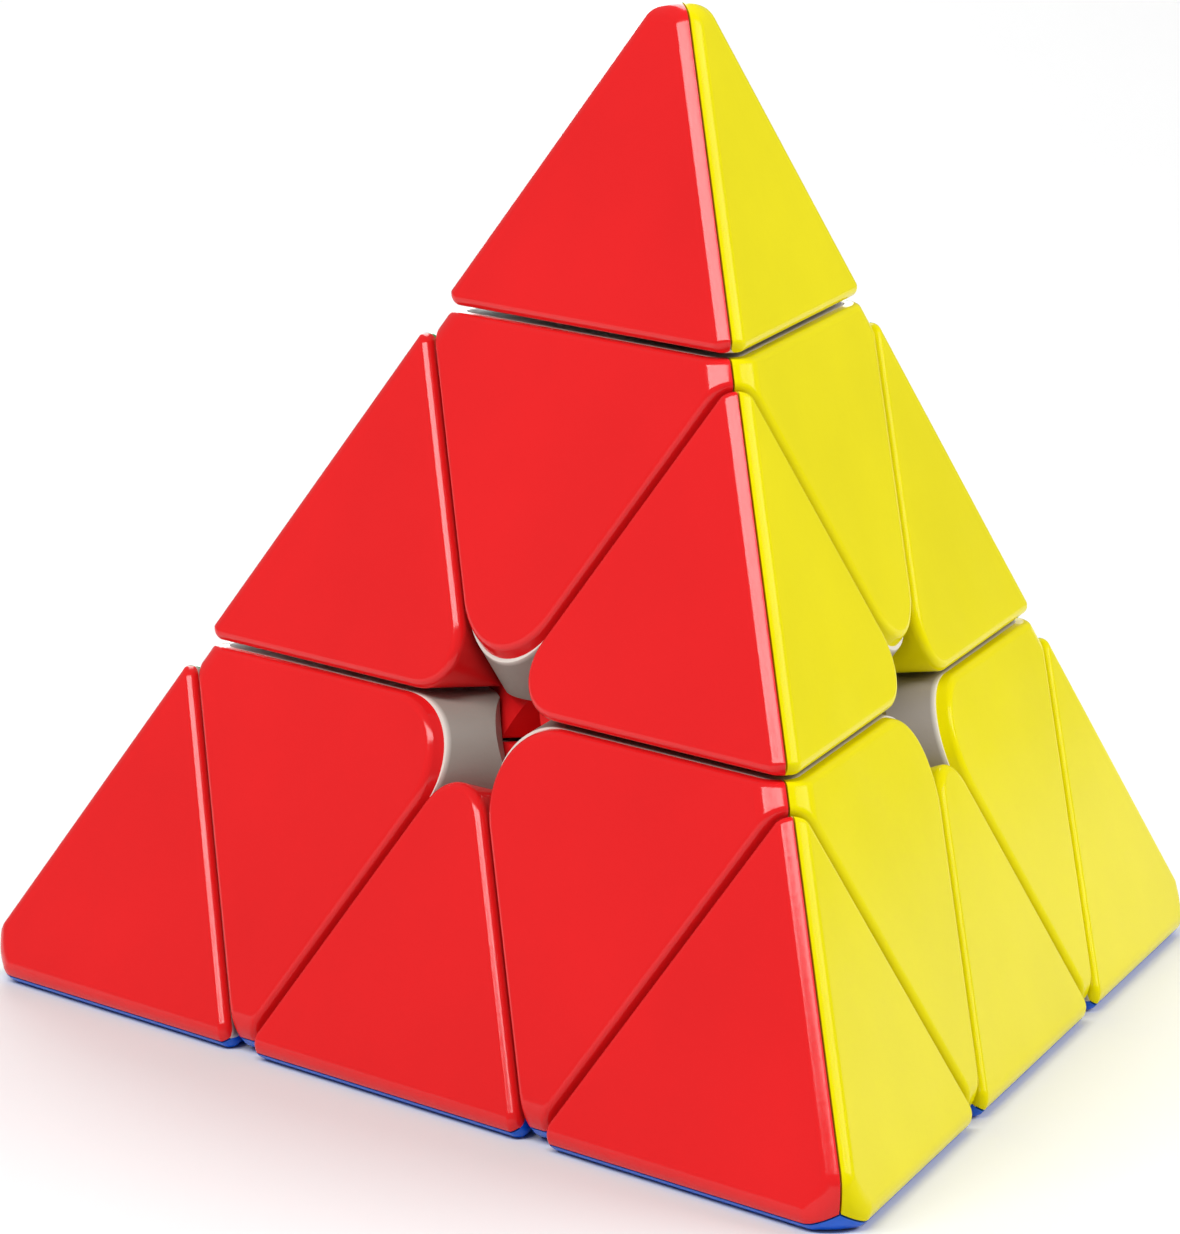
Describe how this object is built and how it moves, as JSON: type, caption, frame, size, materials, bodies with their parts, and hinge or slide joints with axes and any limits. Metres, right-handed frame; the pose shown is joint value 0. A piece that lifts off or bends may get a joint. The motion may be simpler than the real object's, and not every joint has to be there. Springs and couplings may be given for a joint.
{
  "type": "pyramid twisty puzzle",
  "caption": "Tetrahedral twisty puzzle: four corner layers and their small tips turn on a hidden core, carrying edge pieces between coloured faces.",
  "frame": {"origin": "centre of the puzzle, where the four turning axes meet", "axes": "+Z out of the top corner, square to the blue base; -Y towards the front corner, which lies between the red face on its left and the yellow face on its right"},
  "size_m": [0.0918, 0.0803, 0.0756],
  "materials": {
    "red_plastic": "gloss",
    "yellow_plastic": "gloss",
    "green_plastic": "gloss",
    "blue_plastic": "gloss",
    "inner_plastic": "satin",
    "steel": "zinc plated"
  },
  "bodies": {
    "core": {"core": "inner_plastic", "axis_screws": "steel", "axis_washers": "steel", "axis_springs": "steel"},
    "axial_top": {"axial_top_body": "inner_plastic", "axial_top_lid": "inner_plastic", "axial_top_green_cap": "green_plastic", "axial_top_red_cap": "red_plastic", "axial_top_yellow_cap": "yellow_plastic"},
    "axial_front": {"axial_front_body": "inner_plastic", "axial_front_lid": "inner_plastic", "axial_front_blue_cap": "blue_plastic", "axial_front_red_cap": "red_plastic", "axial_front_yellow_cap": "yellow_plastic"},
    "axial_right": {"axial_right_body": "inner_plastic", "axial_right_lid": "inner_plastic", "axial_right_blue_cap": "blue_plastic", "axial_right_green_cap": "green_plastic", "axial_right_yellow_cap": "yellow_plastic"},
    "axial_left": {"axial_left_body": "inner_plastic", "axial_left_lid": "inner_plastic", "axial_left_blue_cap": "blue_plastic", "axial_left_green_cap": "green_plastic", "axial_left_red_cap": "red_plastic"},
    "tip_top": {"tip_top_base": "inner_plastic", "tip_top_screw": "steel", "tip_top_green_cap": "green_plastic", "tip_top_red_cap": "red_plastic", "tip_top_yellow_cap": "yellow_plastic"},
    "tip_front": {"tip_front_base": "inner_plastic", "tip_front_screw": "steel", "tip_front_blue_cap": "blue_plastic", "tip_front_red_cap": "red_plastic", "tip_front_yellow_cap": "yellow_plastic"},
    "tip_right": {"tip_right_base": "inner_plastic", "tip_right_screw": "steel", "tip_right_blue_cap": "blue_plastic", "tip_right_green_cap": "green_plastic", "tip_right_yellow_cap": "yellow_plastic"},
    "tip_left": {"tip_left_base": "inner_plastic", "tip_left_screw": "steel", "tip_left_blue_cap": "blue_plastic", "tip_left_green_cap": "green_plastic", "tip_left_red_cap": "red_plastic"},
    "edge_top_front": {"edge_top_front_red_half": "red_plastic", "edge_top_front_yellow_half": "yellow_plastic"},
    "edge_top_right": {"edge_top_right_green_half": "green_plastic", "edge_top_right_yellow_half": "yellow_plastic"},
    "edge_top_left": {"edge_top_left_green_half": "green_plastic", "edge_top_left_red_half": "red_plastic"},
    "edge_front_right": {"edge_front_right_blue_half": "blue_plastic", "edge_front_right_yellow_half": "yellow_plastic"},
    "edge_front_left": {"edge_front_left_blue_half": "blue_plastic", "edge_front_left_red_half": "red_plastic"},
    "edge_right_left": {"edge_right_left_blue_half": "blue_plastic", "edge_right_left_green_half": "green_plastic"}
  },
  "joints": [
    {"name": "layer_top", "type": "hinge", "parent": "core", "child": "axial_top", "pos_m": [0, 0, 0], "axis": [0, 0, 1], "range_deg": [-240, 120]},
    {"name": "layer_front", "type": "hinge", "parent": "core", "child": "axial_front", "pos_m": [0, 0, 0], "axis": [0, -0.9428, -0.3333], "range_deg": [-240, 120]},
    {"name": "layer_right", "type": "hinge", "parent": "core", "child": "axial_right", "pos_m": [0, 0, 0], "axis": [0.8165, 0.4714, -0.3333], "range_deg": [-240, 120]},
    {"name": "layer_left", "type": "hinge", "parent": "core", "child": "axial_left", "pos_m": [0, 0, 0], "axis": [-0.8165, 0.4714, -0.3333], "range_deg": [-240, 120]},
    {"name": "tip_top_turn", "type": "hinge", "parent": "axial_top", "child": "tip_top", "pos_m": [0, 0, 0], "axis": [0, 0, 1], "continuous": true},
    {"name": "tip_front_turn", "type": "hinge", "parent": "axial_front", "child": "tip_front", "pos_m": [0, 0, 0], "axis": [0, -0.9428, -0.3333], "continuous": true},
    {"name": "tip_right_turn", "type": "hinge", "parent": "axial_right", "child": "tip_right", "pos_m": [0, 0, 0], "axis": [0.8165, 0.4714, -0.3333], "continuous": true},
    {"name": "tip_left_turn", "type": "hinge", "parent": "axial_left", "child": "tip_left", "pos_m": [0, 0, 0], "axis": [-0.8165, 0.4714, -0.3333], "continuous": true},
    {"name": "edge_top_front_turn", "type": "hinge", "parent": "axial_top", "child": "edge_top_front", "pos_m": [0, 0, 0], "axis": [0, -0.9428, -0.3333], "range_deg": [-240, 120]},
    {"name": "edge_top_right_turn", "type": "hinge", "parent": "axial_top", "child": "edge_top_right", "pos_m": [0, 0, 0], "axis": [0.8165, 0.4714, -0.3333], "range_deg": [-240, 120]},
    {"name": "edge_top_left_turn", "type": "hinge", "parent": "axial_top", "child": "edge_top_left", "pos_m": [0, 0, 0], "axis": [-0.8165, 0.4714, -0.3333], "range_deg": [-240, 120]},
    {"name": "edge_front_right_turn", "type": "hinge", "parent": "axial_front", "child": "edge_front_right", "pos_m": [0, 0, 0], "axis": [0.8165, 0.4714, -0.3333], "range_deg": [-240, 120]},
    {"name": "edge_front_left_turn", "type": "hinge", "parent": "axial_left", "child": "edge_front_left", "pos_m": [0, 0, 0], "axis": [0, -0.9428, -0.3333], "range_deg": [-240, 120]},
    {"name": "edge_right_left_turn", "type": "hinge", "parent": "axial_right", "child": "edge_right_left", "pos_m": [0, 0, 0], "axis": [-0.8165, 0.4714, -0.3333], "range_deg": [-240, 120]}
  ],
  "couplings": [
    {"joint": "edge_top_front_turn", "follows": "layer_front", "ratio": 1},
    {"joint": "edge_top_right_turn", "follows": "layer_right", "ratio": 1},
    {"joint": "edge_top_left_turn", "follows": "layer_left", "ratio": 1},
    {"joint": "edge_front_right_turn", "follows": "layer_right", "ratio": 1},
    {"joint": "edge_front_left_turn", "follows": "layer_front", "ratio": 1},
    {"joint": "edge_right_left_turn", "follows": "layer_left", "ratio": 1}
  ]
}
